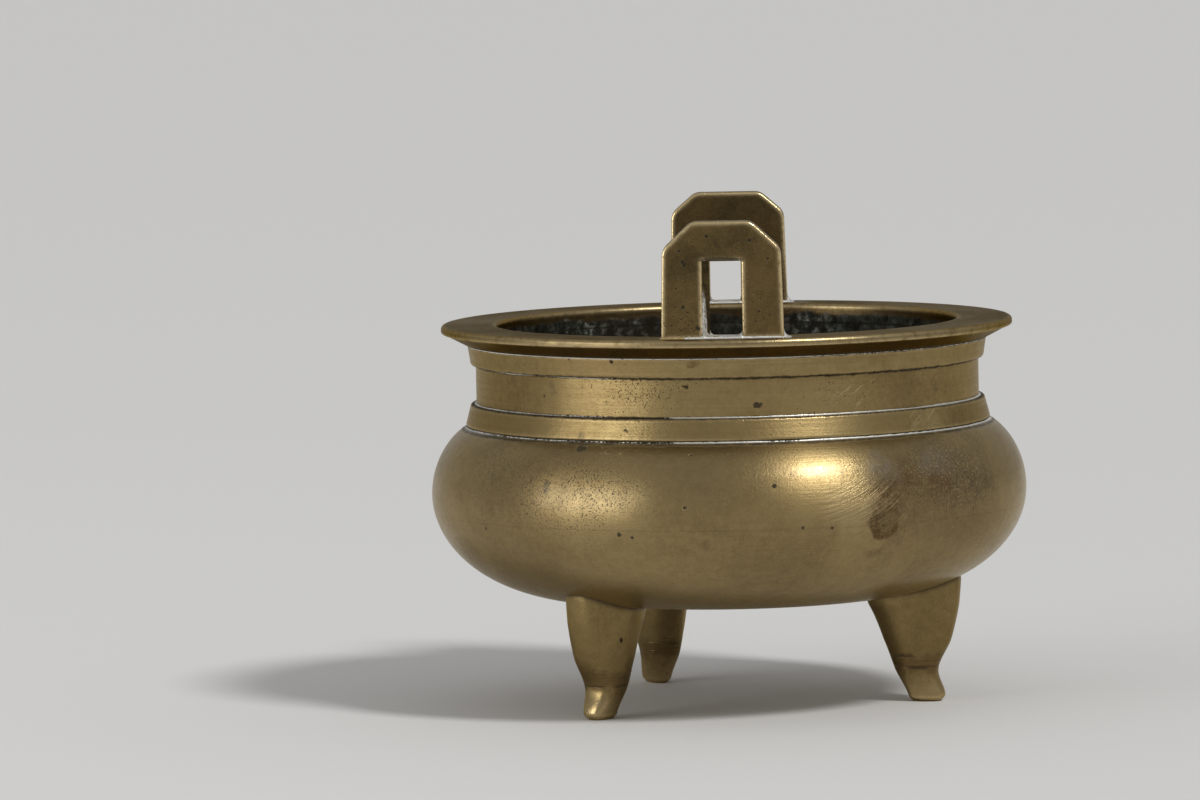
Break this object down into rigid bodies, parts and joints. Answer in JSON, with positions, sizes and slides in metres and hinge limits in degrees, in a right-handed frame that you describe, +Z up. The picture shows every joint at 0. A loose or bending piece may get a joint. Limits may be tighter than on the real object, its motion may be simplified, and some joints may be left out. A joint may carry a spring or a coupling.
{
  "type": "tripod incense burner",
  "caption": "Brass tripod incense burner: open bulbous bowl with a banded waisted neck, flat flared rim, upright slotted loop handles and tapered legs with turned-out toes.",
  "frame": {"origin": "on the bowl's axis, on the surface that the soles of the feet stand on", "axes": "+Z up along the bowl's axis; the loop handles stand on the Y axis, the near one at -Y"},
  "size_m": [0.1562, 0.1562, 0.1304],
  "materials": {
    "aged_brass": "aged satin brass, brushed, pitted and stained",
    "worn_brass": "aged brass with worn bright edges",
    "leg_brass": "aged satin brass, polished at the toes",
    "rivet_brass": "dark tarnished brass",
    "solder": "dull grey-white solder"
  },
  "bodies": {
    "root": {"belly": "aged_brass", "neck": "aged_brass", "lower_band": "aged_brass", "upper_band": "aged_brass", "rim": "worn_brass", "near_handle": "worn_brass", "far_handle": "worn_brass", "front_left_leg": "leg_brass", "right_leg": "leg_brass", "back_left_leg": "leg_brass", "front_left_leg_rivet": "rivet_brass", "right_leg_rivet": "rivet_brass", "back_left_leg_rivet": "rivet_brass", "rim_solder_bead": "solder", "upper_band_solder_bead": "solder", "lower_band_solder_bead": "solder", "shoulder_solder_bead": "solder", "near_handle_solder": "solder", "far_handle_solder": "solder"}
  },
  "joints": []
}
